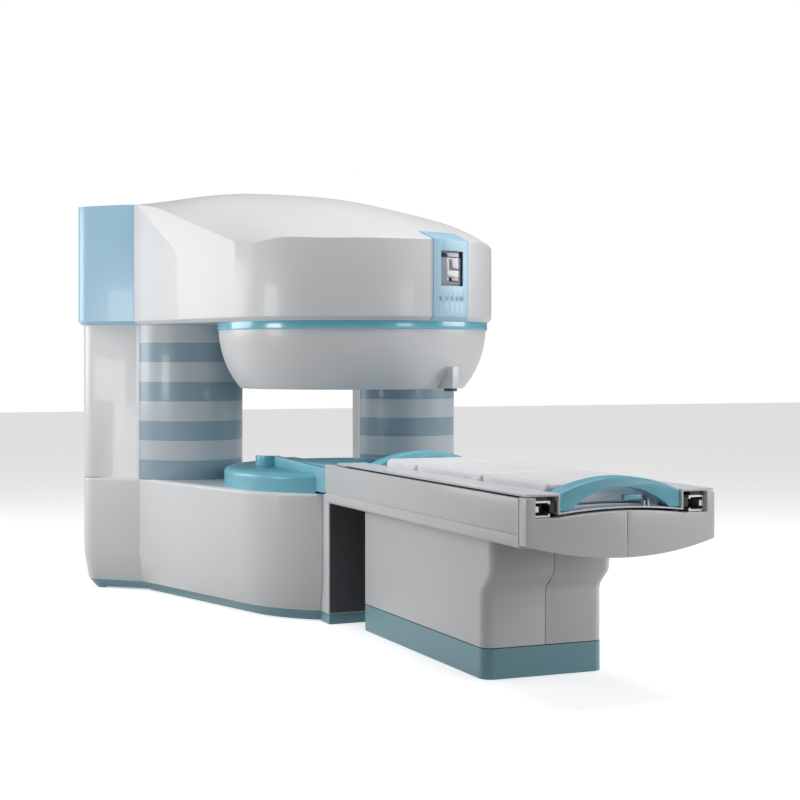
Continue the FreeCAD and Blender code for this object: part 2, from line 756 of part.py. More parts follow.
# Cross-sections of the roof, side by side from left to right. Each row holds its place to
# the side as a share of the cover seam's, how far its back and its middle lie below the
# crown, where the middle lies along the cap, and how far its rim lies above the crease. The
# right half's drops are shares of the roof's fall.
ROOF_LEFT = (
    (-1.376, 68, 60, -1000, None),
    (-1.185, 44, 38, -1000, None),
    (-1.0, 38, 30, -950, 255),
    (-0.868, 34, 24, -800, 155),
    (-0.741, 26, 14, -600, 20),
    (-0.582, 14, 4, -450, 3),
    (-0.423, 8, 0, -450, 0),
    (-0.212, 4, 4, -450, 0),
)
ROOF_RIGHT = (
    (0.0, 0.062, 0.084, -450, 0),
    (0.212, 0.178, 0.231, -450, 0),
    (0.423, 0.347, 0.4, -450, 0),
    (0.582, 0.498, 0.555, -450, 0),
    (0.741, 0.644, 0.72, -500, 3),
    (0.868, 0.778, 0.871, -650, 50),
    (1.0, 0.911, 0.991, -950, 58),
    (1.376, 1.333, 1.42, -1000, None),
)
ROOF_STATIONS = (-1400, -1000, -600, -200, 250, 720)
ROOF_FLOOR = -2500


def rim_place(side):
    """How far forward the cap reaches at one place to the side."""
    seam = float(seam_side() + cap_overhang)
    touch_x, touch_y = tangent_touch(seam_back, seam_side() + cap_overhang, cap_radius, 1)
    if abs(side) < float(touch_y):
        return math.sqrt(float(cap_radius) ** 2 - side * side)
    share = (abs(side) - float(touch_y)) / (seam - float(touch_y))
    return float(touch_x) - share * (float(touch_x) + float(seam_back))


def roof_section(side, back, middle, middle_x, rim):
    """One closed section: a curve that falls ever faster from its middle to the front."""
    # a section outside the cap has no rim, and bends as gently as the one beside it
    bend = 2.1e-4 if rim is None else (middle - rim) / (rim_place(side) - middle_x) ** 2
    bend_back = (middle - back) / (ROOF_STATIONS[0] - middle_x) ** 2
    points = []
    for x in ROOF_STATIONS:
        fall = (bend_back if x < middle_x else bend) * (x - middle_x) ** 2
        points.append(FreeCAD.Vector(x, side, middle - fall))
    curve = Part.BSplineCurve()
    curve.interpolate(points)
    floor = [FreeCAD.Vector(point.x, side, ROOF_FLOOR) for point in (points[0], points[-1])]
    return Part.Wire([
        curve.toShape(), Part.makeLine(points[-1], floor[1]), Part.makeLine(floor[1], floor[0]),
        Part.makeLine(floor[0], points[0])])


def roof_solid(name, inset):
    """Everything below the roof surface, which falls to the front and to the right."""
    drop = float(inset)
    crown = float(crown_height) - drop
    crease = float(crease_height) - drop
    seam = float(seam_side() + cap_overhang)
    sections = []
    for rows, scale in ((ROOF_LEFT, 1.0), (ROOF_RIGHT, float(roof_drop))):
        for place, back, middle, middle_x, rim in rows:
            rim_height = None if rim is None else crease + rim
            sections.append(roof_section(place * seam, crown - back * scale, crown - middle * scale,
                                         middle_x, rim_height))
    roof = doc.addObject("Part::Feature", name)
    roof.Shape = Part.makeLoft(sections, True)
    return roof


def cap_solid(name, inset, proud=0):
    """The cap as one solid; inset makes the hollow, proud a skin outside it."""
    grow = as_size(proud)
    outline = magnet_outline(cap_radius + grow, inset, cap_overhang + grow)
    bottom = cap_bottom + inset - grow
    plan = prism(name + "_plan", "XY_Plane", outline, (bottom, crown_height + 40))
    dress(plan, "Chamfer", cap_bevel + grow - 0.4 * inset, level_edges(plan, False))
    roof = roof_solid(name + "_roof", as_size(inset) - grow)
    return common(name, plan, roof)


def cap_covers():
    outer = cap_solid("cap_outer", as_size(0))
    inner = cap_solid("cap_inner", cover_wall)
    floor = (cap_bottom - 1, cap_bottom + 30)
    holes = [upright("cap_pole_hole", 0, 0, floor, pole_radius + 60)]
    holes.append(upright_pair("cap_post_hole", floor, post_radius + 12))
    shell = cut("cap_shell", outer, inner, fused("cap_holes", *holes))
    heights = (cap_bottom - 50, crown_height + 100)
    end_side = as_size(700)
    half_gap = seam_gap / 2
    spaces = (
        ("cap_back_panel", (half_gap - end_side, end_side - half_gap)),
        ("cap_left_panel", (-1500, -end_side - half_gap)),
        ("cap_right_panel", (end_side + half_gap, 1500)),
    )
    for label, sides in spaces:
        node(common(label, shell, behind(label + "_space", sides, heights)), label)
    front = common("cap_front_blank", shell, in_front("cap_front_space", heights))
    cover_frame(inner)
    return outer, front


def display(cap_outer, cap_front):
    """The coloured display housing with its screen and push buttons on the cap's front."""
    skin = cap_solid("display_skin", as_size(0), display_proud)
    bounds = radial_box("display_bounds", display_angle, (as_size(600), as_size(800)),
                        display_width / 2, (cap_bottom, display_top))
    panel = cut("display_panel_blank", common("display_cut", skin, bounds), cap_outer)
    face = cap_radius + display_proud
    tub_back = cap_radius - 62
    tub_half = display_width / 2 - 12
    screen_top = screen_bottom + screen_height
    tub_heights = (button_height - 26, screen_top + 22)
    # the tub runs out to the panel, and what would stand in front of it is trimmed off
    deep = radial_box("tub_reach", display_angle, (tub_back, face + 30), tub_half, tub_heights)
    deep_hollow = radial_box("tub_reach_inner", display_angle, (tub_back + cover_wall, face + 31),
                             tub_half - cover_wall,
                             (tub_heights[0] + cover_wall, tub_heights[1] - cover_wall))
    tub = common("tub", cut("tub_walls", deep, deep_hollow), cap_outer)
    holes = [radial_box("screen_window", display_angle, (cap_radius - 60, face + 40),
                        screen_width / 2, (screen_bottom, screen_top))]
    middle = as_size(2)
    for number in range(5):
        step = (number - middle) * button_pitch
        room = button_size / 2 + button_clearance
        holes.append(button_block("button_hole_%d" % number, step, room, face + 30))
    node(cut("display_panel", fused("display_whole", panel, tub), fused("display_holes", *holes)),
         "display_panel")
    opening = radial_box("cap_opening", display_angle, (tub_back, face + 30), tub_half, tub_heights)
    node(cut("cap_cover", cap_front, opening), "cap_cover")

    screen_face = face - screen_depth
    node(radial_box("display_screen", display_angle, (tub_back + cover_wall, screen_face),
                    screen_width / 2, (screen_bottom, screen_top)), "display_screen")
    for number in range(5):
        step = (number - middle) * button_pitch
        label = "display_button_%d" % (number + 1)
        node(button_block(label, step, button_size / 2, face + 2), label)


def button_block(name, step, half, face):
    """A square block on the display, sideways by one step from its middle."""
    block = doc.addObject("Part::Box", name)
    start = cap_radius - 44
    bind(block, "Length", face - start)
    bind(block, "Width", 2 * half)
    bind(block, "Height", 2 * half)
    sideways = step - half
    bind(block, "Placement.Base.x", start * cosine(display_angle) - sideways * sine(display_angle))
    bind(block, "Placement.Base.y", start * sine(display_angle) + sideways * cosine(display_angle))
    bind(block, "Placement.Base.z", button_height - half)
    block.Placement.Rotation = FreeCAD.Rotation(FreeCAD.Vector(0, 0, 1), 10)
    bind(block, "Placement.Rotation.Angle", display_angle)
    return block


def locator(drum):
    """The small light locator on the upper pole cover."""
    low = drum_bottom + 4
    body = radial_box("locator_body", locator_angle, (drum_bottom_radius - 20, locator_reach),
                      locator_width / 2, (low, low + locator_height))
    lens_height = as_size(14)
    body = cut("locator_housing", body, drum)
    lens = radial_box("locator_lens", locator_angle, (drum_bottom_radius + 44, locator_reach - 6),
                      locator_width / 2 - 6, (low - lens_height, low))
    node(body, "locator_housing")
    node(cut("locator_lens_cut", lens, drum), "locator_lens")


# ---------------------------------------------------------------- docking block, bridge

def docking():
    inside = dock_side - cover_wall
    outer = box("dock_outer", (coil_radius + seam_gap, dock_face), (-dock_side + seam_gap,
                dock_side - seam_gap), (plinth_height, base_top - 1))
    inner = box("dock_inner", (0, dock_face - cover_wall), (-inside + seam_gap, inside - seam_gap),
                (plinth_height - 1, base_top - 1 - cover_wall))
    node(cut("docking_cover", outer, inner), "docking_cover")

    side = table_side
    trough_bottom = base_top + 12
    trough = box("trough_outer", (-bridge_back, table_start), (-side, side), (trough_bottom, bridge_top))
    room = box("trough_room", (-bridge_back - 1, table_start + 1), (bridge_wall - side,
               side - bridge_wall), (bridge_floor, bridge_top + 1))
    # the walls' top edges fall gently towards the table
    above = prism("trough_slope", "XZ_Plane", [
        (-bridge_back, bridge_top), (table_start + 1, bridge_low), (table_start + 1, bridge_top + 50),
        (-bridge_back, bridge_top + 50),
    ], (-side - 1, side + 1))
    pieces = [cut("trough_channel", trough, room, above)]
    flare = bridge_flare
    outside = flare - bridge_wall
    for turn in (-1, 1):
        wall = [
            (-bridge_back, turn * (side - bridge_wall), turn * flare),
            (-bridge_back - flare, turn * (side - bridge_wall + flare)),
            (-bridge_back - flare + bridge_wall, turn * (side - bridge_wall + flare), -turn * outside),
            (-bridge_back, turn * side),
        ]
        pieces.append(prism("trough_flare", "XY_Plane", wall, (disc_top, bridge_top)))
    for turn in (-1, 1):
        near = turn * rail_side
        far = turn * (rail_side + rail_width)
        pieces.append(box("bridge_rail", (20 - bridge_back, table_start - 5),
                          (near, far) if turn > 0 else (far, near), (bridge_floor, rail_top)))
    node(fused("bridge_trough", *pieces), "bridge_trough")


# ---------------------------------------------------------------- table

def rounded_plan(end, inset):
    """Pedestal plan with rounded upright corners."""
    corner = pedestal_corner - inset
    start = pedestal_start + inset
    end = end - inset
    side = pedestal_side - inset
    return [
        (start + corner, -side), (end - corner, -side, corner), (end, corner - side),
        (end, side - corner, corner), (end - corner, side), (start + corner, side, corner),
        (start, side - corner), (start, corner - side, corner),
    ]


def pedestal_solid(name, inset):
    """The pedestal with its smooth overhang towards the foot end."""
    levels = [(table_plinth_height - inset, as_size(0))]
    steps = 6
    for step in range(steps + 1):
        share = as_size(step) / steps
        height = flare_start + (flare_finish - flare_start) * share
        levels.append((height, flare_reach * (1 - cosine(share * 180)) / 2))
    levels.append((beam_bottom + inset / 5, flare_reach))
    sections = []
    for number, (height, reach) in enumerate(levels):
        body = doc.addObject("Sketcher::SketchObject", "%s_section_%d" % (name, number))
        draw(body, rounded_plan(pedestal_end + reach, inset))
        bind(body, "Placement.Base.z", height)
        sections.append(body)
    loft = doc.addObject("Part::Loft", name)
    loft.Sections = sections
    loft.Solid = True
    loft.Ruled = True
    return loft


def pedestal():
    wall = cover_wall
    shell = cut("pedestal_shell", pedestal_solid("pedestal_outer", as_size(0)),
                pedestal_solid("pedestal_inner", wall))
    half_gap = seam_gap / 2
    for label, sides in (("pedestal_left_cover", (-500, -half_gap)),
                         ("pedestal_right_cover", (half_gap, 500))):
        half = box(label + "_space", (0, 3000), sides, (0, 1000))
        node(common(label, shell, half), label)
    outer = prism("table_plinth_outer", "XY_Plane", rounded_plan(pedestal_end, as_size(0)),
                  (as_size(0), table_plinth_height - 3))
    inner = prism("table_plinth_inner", "XY_Plane", rounded_plan(pedestal_end, as_size(8)),
                  (as_size(-1), table_plinth_height))
    node(cut("table_plinth", outer, inner), "table_plinth")
    column = [box("table_foot_plate", (pedestal_start + 8, pedestal_end - 8),
                  (60 - pedestal_side, pedestal_side - 60), (0, 12))]
    for start in (pedestal_start + 120, pedestal_end - 320):
        outer = box("pedestal_post_outer", (start, start + 200), (-140, 140), (12, beam_bottom))
        inner = box("pedestal_post_inner", (start + 8, start + 192), (-132, 132), (11, beam_bottom + 1))
        column.append(cut("pedestal_post", outer, inner))
    node(fused("pedestal_frame", *column), "pedestal_frame")


def beam_channel():
    """The steel channel that carries the rails on its two side boxes."""
    beam_side = rail_side + rail_width
    beam = box("beam_outer", (table_start + 10, table_end), (-beam_side, beam_side),
               (beam_bottom, rail_bottom))
    channel = box("beam_channel", (table_start, rail_end), (-rail_side, rail_side),
                  (beam_bottom + beam_wall, rail_bottom + 1))
    sides = []
    for turn in (-1, 1):
        near = turn * (rail_side + beam_wall)
        far = turn * (beam_side - beam_wall)
        sides.append(box("beam_side_room", (table_start, rail_end), (near, far) if turn > 0 else
                         (far, near), (beam_bottom + beam_wall, rail_bottom - beam_wall)))
    return cut("table_beam_channel", beam, channel, *sides)


def side_panels_and_rails():
    beam_side = rail_side + rail_width

    panel = prism("side_panel", "YZ_Plane", [
        (beam_side - 30, table_bottom), (table_side - 14, table_bottom, as_size(14)),
        (table_side, table_bottom + 14), (table_side, lip_height), (table_side - groove, lip_height),
        (table_side - groove, lip_height + groove), (table_side, lip_height + groove),
        (table_side, panel_top), (table_side - panel_wall, panel_top),
        (table_side - panel_wall, beam_bottom), (beam_side - 30, beam_bottom),
    ], (table_start, table_end))
    node(panel, "right_side_panel")
    node(mirrored("left_side_panel", panel), "left_side_panel")

    wall = rail_wall
    bottom = rail_bottom
    inner = rail_side
    outer = rail_side + rail_width
    slot_low = bottom + 19
    slot_high = rail_top - 19
    rail = prism("rail", "YZ_Plane", [
        (inner, bottom), (outer, bottom), (outer, rail_top), (inner, rail_top),
        (inner, slot_high + wall), (inner + wall, slot_high + wall), (inner + wall, rail_top - wall),
        (outer - wall, rail_top - wall), (outer - wall, slot_high), (outer - 3 * wall, slot_high),
        (outer - 3 * wall, slot_low), (outer - wall, slot_low), (outer - wall, bottom + wall),
        (inner + wall, bottom + wall), (inner + wall, slot_low - wall), (inner, slot_low - wall),
    ], (table_start + 5, rail_end))
    node(grouped("table_rails", rail, mirrored("left_rail", rail)), "table_rails")


def end_profile(inset):
    """Right half of the end cover seen along the table."""
    side = table_side - inset
    keel = end_keel + inset
    corner = end_corner + inset
    curve = sagitta_radius(side, corner - keel)
    tray_bottom = tray_floor - tray_wall
    arch_side = tray_inside + tray_wall
    rail_outer = rail_side + rail_width + 1
    arch_curve = sagitta_radius(arch_side, tray_arch)
    rest = rail_bottom - 2 - inset
    return [
        (seam_gap / 2, keel, curve), (side, corner), (side, panel_top + 4 - inset),
        (rail_outer + inset, panel_top + 4 - inset), (rail_outer + inset, rest),
        (arch_side, rest, arch_curve), (seam_gap / 2, tray_bottom - 8 + tray_arch - inset),
    ]


def end_plan(inset):
    """The end cover from above: a gentle bulge towards the foot end."""
    side = table_side - inset
    reach = end_reach - inset
    curve = sagitta_radius(side, end_bulge)
    start = table_end + run_clearance - inset
    return [
        (start, as_size(0)), (start, -side),
        (reach, -side, curve), (reach + end_bulge, as_size(0), curve), (reach, side),
        (start, side),
    ]


def end_cover():
    spans = (as_size(2500), as_size(2800))
    solids = []
    for inset in (as_size(0), cover_wall):
        profile = prism("end_profile", "YZ_Plane", end_profile(inset), spans)
        plan = prism("end_plan", "XY_Plane", end_plan(inset), (as_size(500), as_size(800)))
        solids.append(common("end_solid", profile, plan))
    cover = cut("end_cover", *solids)
    node(cover, "right_end_cover")
    node(mirrored("left_end_cover", cover), "left_end_cover")


# ---------------------------------------------------------------- tray

def tray_section():
    """Closed outline of the folded tray: flange, wall, arched floor, wall, flange."""
    inside = tray_inside
    outside = tray_inside + tray_wall
    low = tray_floor - tray_wall
    under = tray_top - 8
    outer_curve = sagitta_radius(outside, tray_arch)
    inner_curve = sagitta_radius(inside, tray_arch)
    return [
        (-flange_side, under), (-outside, under), (-outside, low, -outer_curve),
        (as_size(0), low + tray_arch, -outer_curve), (outside, low), (outside, under),
        (flange_side, under), (flange_side, tray_top), (inside, tray_top), (inside, tray_floor,
         inner_curve), (as_size(0), tray_floor + tray_arch, inner_curve), (-inside, tray_floor),
        (-inside, tray_top), (-flange_side, tray_top),
    ]


def arch(name, start):
    """An arched handle that spans the tray from wall to wall, with broad feet."""
    half = tray_inside
    inner_half = half - arch_foot
    shoulder = tray_top - 4
    outer = sagitta_radius(half, arch_crown - shoulder)
    share = inner_half / half
    low = tray_floor + tray_arch * (1 - share * share) + 0.5
    inner = sagitta_radius(inner_half, arch_crown - arch_thickness - low)
    body = prism(name, "YZ_Plane", [
        (half, shoulder, outer), (as_size(0), arch_crown, outer), (-half, shoulder),
        (-half, low), (-inner_half, low, -inner), (as_size(0), arch_crown - arch_thickness, -inner),
        (inner_half, low), (half, low),
    ], (start, start + arch_depth))
    doc.recompute()
    crown = body.Tip.Shape.BoundBox.ZMax

    def crown_edge(edge):
        return abs(edge.BoundBox.ZMax - crown) < 0.1 and edge.Length > arch_edge

    arch_edge = 0.7 * float(half)
    dress(body, "Fillet", arch_round, crown_edge)
    return body


def tray(lever_parts):
    """The folded tray with its belt clamp and lever bracket welded on, handles, pads, glides."""
    belt_top = pulley_height + pulley_radius + belt_thickness + run_clearance
    clamp = box("belt_clamp", (clamp_place, clamp_place + 60), (-15, 15),
                (belt_top + run_clearance, tray_floor - tray_wall + tray_arch + 1))
    shell = prism("tray_shell", "YZ_Plane", tray_section(), (tray_start, tray_end))
    node(fused("tray", shell, clamp, *lever_parts), "tray")
    node(arch("foot_handle", foot_arch), "foot_handle")
    node(arch("head_handle", head_arch), "head_handle")
    joints = (pad_start, pad_first_joint, pad_second_joint, pad_end)
    for number, label in enumerate(("head_pad", "back_pad", "leg_pad")):
        bottom = tray_floor + tray_arch + 0.3
        body = prism(label, "XY_Plane", [
            (joints[number] + 0.5, -pad_side), (joints[number + 1] - 0.5, -pad_side),
            (joints[number + 1] - 0.5, pad_side), (joints[number] + 0.5, pad_side),
        ], (bottom, pad_top))
        node(dress(body, "Fillet", pad_round, level_edges(body, True)), label)

    strips = []
    blocks = []
    outside = tray_inside + tray_wall
    for turn in (-1, 1):
        def sideways(near, far):
            return (turn * near, turn * far) if turn > 0 else (turn * far, turn * near)

        strips.append(box("glide_strip", (tray_start + 20, tray_end - 14),
                          sideways(rail_side + 8, rail_side + rail_width - 8),
                          (rail_top + run_clearance, tray_top - 8)))
        for number in range(4):
            start = tray_end - 74 - number * (tray_end - tray_start - 160) / 3
            blocks.append(box("glide_block", (start, start + 60),
                              sideways(outside, rail_side - run_clearance),
                              (tray_floor + 4, rail_top - 6)))
    node(grouped("tray_glides", *strips, *blocks), "tray_glides")


def lever():
    """The release lever: a thin cranked rod with a small grip, on a pin in a bracket."""
    pin = lever_pin_radius
    x = lever_axis
    pivot = lever_pivot_height
    half_rod = as_size(5)
    grip_end = lever_side - lever_grip_length - 22
    upright_part = box("rod_upright", (x - half_rod, x + half_rod),
                       (lever_side - half_rod, lever_side + half_rod),
                       (pivot - 7, lever_height + half_rod))
    across = box("rod_across", (x - half_rod, x + half_rod), (grip_end + 10, lever_side + half_rod),
                 (lever_height - half_rod, lever_height + half_rod))
    bore = crosswise("rod_bore", x, (lever_side - 20, lever_side + 20), pivot, pin + 0.3)
    grip = box("grip_blank", (x - 13, x + 13), (grip_end, grip_end + lever_grip_length),
               (lever_height - 9, lever_height + 9))
    rod = cut("lever_rod", fused("rod_blank", upright_part, across), bore)
    node(rod, "lever_rod")
    node(cut("lever_grip", grip, across), "lever_grip")
    cheeks = []
    for turn in (-1, 1):
        near = lever_side + turn * (half_rod + 0.4)
        far = near + turn * 5
        span = (near, far) if turn > 0 else (far, near)
        cheeks.append(box("lever_cheek", (x - 9, x + 9), span, (tray_floor + 5, pivot + 8)))
    pin_rod = crosswise("lever_pin", x, (lever_side - 12, lever_side + 12), pivot, pin)
    return [pin_rod] + cheeks


# ---------------------------------------------------------------- drive

def drive(beam):
    """Belt, pulleys and motor inside the beam, whose welded plates carry the idler pin."""
    half = pulley_width / 2
    bore = shaft_radius + 0.3
    for label, place in (("drive_pulley", drive_place), ("idler_pulley", idler_place)):
        wheel = crosswise(label + "_wheel", place, (-half, half), pulley_height, pulley_radius)
        hole = crosswise(label + "_bore", place, (-half - 1, half + 1), pulley_height, bore)
        node(cut(label, wheel, hole), label)

    def loop(name, radius, side):
        return prism(name, "XZ_Plane", [
            (idler_place, pulley_height - radius), (drive_place, pulley_height - radius, radius),
            (drive_place + radius, pulley_height, radius),
            (drive_place, pulley_height + radius), (idler_place, pulley_height + radius, radius),
            (idler_place - radius, pulley_height, radius),
        ], (-side, side))

    inside = pulley_radius + run_clearance
    belt = cut("drive_belt", loop("belt_outer", inside + belt_thickness, half - 2),
               loop("belt_inner", inside, half))
    node(belt, "drive_belt")

    floor = beam_bottom + beam_wall
    motor_start = half + 24
    motor = crosswise("motor_body", drive_place, (motor_start, motor_start + 130), pulley_height,
                      motor_radius)
    shaft = crosswise("motor_shaft", drive_place, (-half - 8, motor_start), pulley_height, shaft_radius)
    foot = box("motor_foot", (drive_place - 30, drive_place + 30), (motor_start + 10,
               motor_start + 120), (floor, pulley_height))
    node(fused("drive_motor", motor, shaft, foot), "drive_motor")
    pin = crosswise("idler_pin", idler_place, (-half - 10, half + 10), pulley_height, shaft_radius)
    plates = []
    for turn in (-1, 1):
        near = turn * (half + 1)
        far = turn * (half + 9)
        plates.append(box("idler_plate", (idler_place - 20, idler_place + 20),
                          (near, far) if turn > 0 else (far, near), (floor, pulley_height + 20)))
    node(fused("table_beam", beam, pin, *plates), "table_beam")


# ---------------------------------------------------------------- the whole scanner

magnet_core()
column_covers(base_covers())
plinths()
display(*cap_covers())
locator(pole_covers())
docking()
pedestal()
side_panels_and_rails()
end_cover()
tray(lever())
drive(beam_channel())
doc.recompute()

for feature in doc.Objects:
    if "Invalid" in feature.State or "Error" in feature.State:
        raise RuntimeError("%s did not build: %s" % (feature.Name, feature.State))
os.makedirs("parts", exist_ok=True)
for label, feature in NODES.items():
    shape = feature.Shape
    if shape.isNull() or not shape.isValid():
        raise RuntimeError(label + " has no valid shape")
    shape.exportStep("parts/%s.step" % label)
print(len(NODES), "sub-parts")
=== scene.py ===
import json
import math
import bmesh
import bpy
from mathutils import Matrix, Vector

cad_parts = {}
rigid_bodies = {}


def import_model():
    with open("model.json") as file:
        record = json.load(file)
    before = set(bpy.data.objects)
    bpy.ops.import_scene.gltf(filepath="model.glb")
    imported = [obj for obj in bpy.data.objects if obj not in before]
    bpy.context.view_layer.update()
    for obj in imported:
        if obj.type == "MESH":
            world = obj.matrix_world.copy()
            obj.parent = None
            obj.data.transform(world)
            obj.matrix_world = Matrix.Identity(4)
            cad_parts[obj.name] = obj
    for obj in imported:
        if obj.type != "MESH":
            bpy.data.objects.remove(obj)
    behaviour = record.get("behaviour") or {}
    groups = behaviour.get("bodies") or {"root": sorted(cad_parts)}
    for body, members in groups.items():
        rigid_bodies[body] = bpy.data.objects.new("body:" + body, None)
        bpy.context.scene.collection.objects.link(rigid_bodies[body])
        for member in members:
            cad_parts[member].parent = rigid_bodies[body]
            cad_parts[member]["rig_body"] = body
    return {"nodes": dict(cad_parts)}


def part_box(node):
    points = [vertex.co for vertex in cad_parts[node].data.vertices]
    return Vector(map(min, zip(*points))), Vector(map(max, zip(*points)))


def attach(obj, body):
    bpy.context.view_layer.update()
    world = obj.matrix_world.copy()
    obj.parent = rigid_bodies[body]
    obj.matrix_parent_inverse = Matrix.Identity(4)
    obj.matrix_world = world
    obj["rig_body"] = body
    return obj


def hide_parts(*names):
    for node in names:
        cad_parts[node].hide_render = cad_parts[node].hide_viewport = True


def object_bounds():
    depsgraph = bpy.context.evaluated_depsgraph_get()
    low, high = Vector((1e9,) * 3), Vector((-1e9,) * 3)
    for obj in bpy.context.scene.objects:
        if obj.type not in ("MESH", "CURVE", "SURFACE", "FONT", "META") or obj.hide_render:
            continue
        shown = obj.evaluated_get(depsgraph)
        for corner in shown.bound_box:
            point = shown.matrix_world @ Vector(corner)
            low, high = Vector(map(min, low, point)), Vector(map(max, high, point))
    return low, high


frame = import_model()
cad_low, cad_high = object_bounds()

nodes = frame["nodes"]
scene = bpy.context.scene


# ------------------------------------------------------------------ iron, magnet and coils
# Two cast-iron yoke plates and two posts close the magnetic circuit; pole plates and magnet
# blocks face each other across the gap, each with a resin-potted coil set. The covers hide
# them, so each gets its plain shop finish: primer grey, coated blocks, amber resin.

def rgb(code):
    """An sRGB hex colour as linear light, with full alpha."""
    parts = [int(code[start:start + 2], 16) / 255 for start in (1, 3, 5)]
    light = [part / 12.92 if part <= 0.04045 else ((part + 0.055) / 1.055) ** 2.4 for part in parts]
    return (*light, 1.0)


def add(tree, kind, values=None, links=None, **settings):
    """Adds one node with its settings, socket values and incoming links."""
    made = tree.nodes.new("ShaderNode" + kind)
    for name, value in settings.items():
        setattr(made, name, value)
    for socket, value in (values or {}).items():
        made.inputs[socket].default_value = value
    for socket, source in (links or {}).items():
        tree.links.new(source, made.inputs[socket])
    return made


def finish_of(name, colour, roughness, grain, depth, sheen=0.0, metallic=0.0, ior=1.46,
              coat=0.0, drift=0.04, stretch=(1, 1, 1)):
    """A surface with a slow drift of tone and a fine texture of one real grain size.

    grain is the texture's spacing in metres and depth its height; drift is how far the tone
    wanders over about a third of a metre, as on any large moulded or painted part.
    """
    material = bpy.data.materials.new(name)
    material.use_nodes = True
    tree = material.node_tree
    shader = tree.nodes["Principled BSDF"]
    place = add(tree, "TexCoord").outputs["Object"]
    spread = add(tree, "Mapping", {"Scale": stretch}, {"Vector": place}).outputs["Vector"]
    slow = add(tree, "TexNoise", {"Scale": 3.0, "Detail": 2.0}, {"Vector": place})
    tone = add(tree, "MapRange", {"To Min": 1 - drift, "To Max": 1 + drift},
               {"Value": slow.outputs["Fac"]})
    colour_drift = add(tree, "HueSaturation", {"Color": rgb(colour)}, {"Value": tone.outputs["Result"]})
    tree.links.new(colour_drift.outputs["Color"], shader.inputs["Base Color"])
    fine = add(tree, "TexNoise", {"Scale": 1 / grain, "Detail": 3.0}, {"Vector": spread})
    rough = add(tree, "MapRange", {"To Min": roughness - 0.05, "To Max": roughness + 0.05},
                {"Value": fine.outputs["Fac"]})
    tree.links.new(rough.outputs["Result"], shader.inputs["Roughness"])
    bump = add(tree, "Bump", {"Strength": 0.6, "Distance": depth}, {"Height": fine.outputs["Fac"]})
    tree.links.new(bump.outputs["Normal"], shader.inputs["Normal"])
    shader.inputs["Metallic"].default_value = metallic
    if metallic < 0.5:
        shader.inputs["IOR"].default_value = ior
    shader.inputs["Coat Weight"].default_value = coat
    shader.inputs["Sheen Weight"].default_value = sheen
    return material


def wear(names, material):
    """Gives CAD parts or finished pieces one material."""
    for name in names.split():
        piece = nodes.get(name) or bpy.data.objects[name]
        piece.data.materials.clear()
        piece.data.materials.append(material)


# grey primer over cast iron: flat, with the sand-cast skin showing through as a coarse grain
primed_iron = finish_of("primed_cast_iron", "#6B6E72", 0.55, 0.004, 0.0004)
# nickel-coated magnet bricks: a dull metal
coated_magnet = finish_of("nickel_coated_magnet", "#9A9A96", 0.4, 0.002, 0.0001, metallic=0.8)
# epoxy potting: amber, glossy, slightly uneven where it was poured
potting_resin = finish_of("amber_epoxy", "#8A5A22", 0.28, 0.03, 0.0006, ior=1.55)
# powder-coated structural steel: charcoal, with a fine orange peel
powder_coat = finish_of("charcoal_powder_coat", "#2E3033", 0.5, 0.0018, 0.0002)
wear("lower_yoke upper_yoke yoke_posts lower_pole_plate upper_pole_plate", primed_iron)
wear("lower_magnet_block upper_magnet_block", coated_magnet)
wear("lower_coil_set upper_coil_set", potting_resin)
wear("foot_plate yoke_bolts cover_frame pedestal_frame table_beam", powder_coat)


# ------------------------------------------------------------------ white moulded covers
# The base, side, cap, docking and pedestal covers are glass-fibre shells, sprayed with an
# off-white satin enamel. Their edges are rolled, so that each open seam between two covers
# reads as a soft dark line.

seam_roll = 0.0018       # rolled edge of the big covers
tray_roll = 0.0012       # rolled edge of the tray


def rolled(name, radius, least_angle=32.0, steps=3):
    """A merged copy of a part with its sharp edges rolled; it stands for the part."""
    source = nodes[name]
    mesh = source.data.copy()
    piece = bpy.data.objects.new(name + "_finished", mesh)
    scene.collection.objects.link(piece)
    work = bmesh.new()
    work.from_mesh(mesh)
    bmesh.ops.remove_doubles(work, verts=work.verts, dist=0.00002)
    bmesh.ops.dissolve_limit(work, angle_limit=math.radians(0.5), verts=work.verts, edges=work.edges)
    sharp = [edge for edge in work.edges
             if len(edge.link_faces) == 2 and edge.calc_face_angle(0) > math.radians(least_angle)]
    bmesh.ops.bevel(work, geom=sharp, offset=radius, offset_type="OFFSET", affect="EDGES",
                    segments=steps, profile=0.5, material=-1, clamp_overlap=True)
    for face in work.faces:
        face.smooth = True
    work.to_mesh(mesh)
    work.free()
    mesh.set_sharp_from_angle(angle=math.radians(28))
    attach(piece, source["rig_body"])
    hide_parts(name)
    return piece


# satin enamel over glass fibre: near white, with the faint orange peel of a sprayed coat
white_enamel = finish_of("off_white_satin_enamel", "#E2E3E5", 0.38, 0.0035, 0.00012, coat=0.12)
white_covers = (
    "base_front_cover base_back_cover left_side_cover right_side_cover cap_cover cap_back_panel "
    "upper_pole_cover locator_housing docking_cover pedestal_left_cover pedestal_right_cover "
    "left_side_panel right_side_panel left_end_cover right_end_cover"
)
for cover in white_covers.split():
    rolled(cover, seam_roll)
    wear(cover + "_finished", white_enamel)


# ------------------------------------------------------------------ coloured covers
# The cap's end panels and the display housing are sky blue; the pole cover, the bridge
# trough and the tray's handles are teal; the plinths are a greyer teal, where scuffs show
# less. All are pigmented ABS, moulded, with a fine satin grain.

